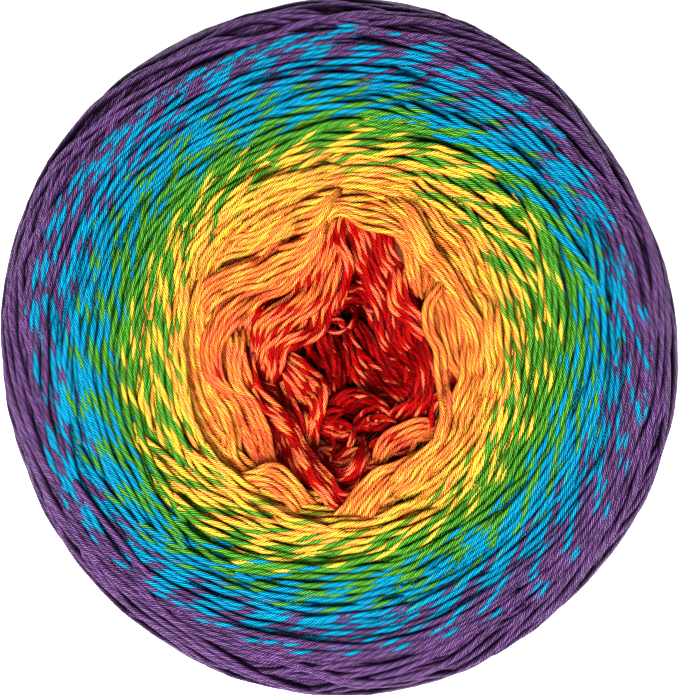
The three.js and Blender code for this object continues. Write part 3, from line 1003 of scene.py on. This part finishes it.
def coreFinish():
    f = Finish("innerTurnsInPaintedShade")
    place = f.node("TexCoord")
    parts = f.node("SeparateXYZ", Vector=f.out(place, "Object"))
    x, y, z = (f.out(parts, axis) for axis in "XYZ")
    radius = (x * x + y * y).math("SQRT") * 1000
    blotch = f.node("TexNoise", None, Vector=f.out(place, "Object"),
                    Scale=coreLook["blotches"], Detail=2.0)
    placeNow = radius + f.out(blotch, "Fac") * coreLook["blotchShift"] - coreLook["blotchShift"] / 2
    dye = f.node("ValToRGB", {"stops": dyeStops(coreLook["paintedShadeFactor"])}, Fac=placeNow / gradientEnd)
    f.feed("Base Color", f.out(dye, "Color"))
    lines = ((radius * 1.1 + z * 1100) * math.pi).math("SINE")
    bump = f.node("Bump", None, Height=lines, Distance=coreLook["relief"], Strength=0.8)
    f.feed("Normal", f.out(bump, "Normal"))
    f.feed("Roughness", 1.0)
    f.feed("Specular IOR Level", 0.0)
    return f.material


print("scene: finishing")
yarnMaterial = yarnFinish()


# The closed body of turns under the ones that show.
def makeCore(inset):
    bpy.ops.object.select_all(action="DESELECT")
    core = woundNode.copy()
    core.data = woundNode.data.copy()
    core.name = core.data.name = "innerTurnsInPaintedShade"
    core.parent = None
    bpy.context.scene.collection.objects.link(core)
    core.matrix_world.identity()
    core.select_set(True)
    bpy.context.view_layer.objects.active = core
    bpy.ops.object.mode_set(mode="EDIT")
    bpy.ops.mesh.select_all(action="SELECT")
    bpy.ops.mesh.remove_doubles(threshold=0.00001)
    bpy.ops.transform.shrink_fatten(value=-inset * metre)
    bpy.ops.object.mode_set(mode="OBJECT")
    bpy.ops.object.shade_smooth()
    core.data.materials.clear()
    core.data.materials.append(coreFinish())
    bpy.ops.object.select_all(action="DESELECT")
    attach(core, "root")
    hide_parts("wound_yarn")


makeCore(coreLook["inset"])
sidesOf = {"underTurns": 6, "deepTurns": 6}
for name, pieces in strands.items():
    joinTubes(name, pieces, sidesOf.get(name, 8), yarnMaterial)


studio = {
    "floor": (0.98, 0.98, 0.98), "glow": 1.2, "sky": 0.26,
    "lamps": [  # name, place, size, energy
        ("keyLight", (-0.12, -0.36, 1.1), 0.5, 39.0), ("fillLight", (-0.5, 0.5, 1.1), 0.8, 1.4),
    ],
}


def addLight(name, spot, size, energy):
    light = bpy.data.lights.new(name, "AREA")
    light.shape, light.size, light.energy = "DISK", size, energy
    lamp = bpy.data.objects.new(name, light)
    bpy.context.scene.collection.objects.link(lamp)
    lamp.location = spot
    lamp.rotation_euler = (Vector((0, 0, 0.05)) - Vector(spot)).to_track_quat("-Z", "Y").to_euler()
    lamp.visible_camera = False


def setStudio():
    bpy.ops.mesh.primitive_plane_add(size=6, location=(0, 0, -0.0004))
    floor = bpy.context.active_object
    floor.name = "studioFloor"
    finish = Finish("paleFloor")
    finish.feed("Base Color", (*studio["floor"], 1))
    finish.feed("Roughness", 0.9)
    finish.feed("Emission Color", (1, 1, 1, 1))
    finish.feed("Emission Strength", studio["glow"])
    floor.data.materials.append(finish.material)
    for lamp in studio["lamps"]:
        addLight(*lamp)
    world = bpy.data.worlds.new("studioSky")
    bpy.context.scene.world = world
    world.use_nodes = True
    sky = world.node_tree.nodes["Background"].inputs
    sky["Color"].default_value, sky["Strength"].default_value = (1, 1, 1, 1), studio["sky"]
    lens = bpy.data.cameras.new("photoCamera")
    lens.sensor_fit, lens.sensor_width = "HORIZONTAL", 36.0
    lens.lens = camera["focalPixels"] * lens.sensor_width / camera["pixelsAcross"]
    lens.clip_start, lens.clip_end = 0.05, 20
    eye = bpy.data.objects.new("photoCamera", lens)
    bpy.context.scene.collection.objects.link(eye)
    eye.location = (0, 0, camera["height"] * metre)
    bpy.context.scene.camera = eye
    bpy.context.scene.view_settings.view_transform = "Standard"


print("scene: setting the studio")
setStudio()
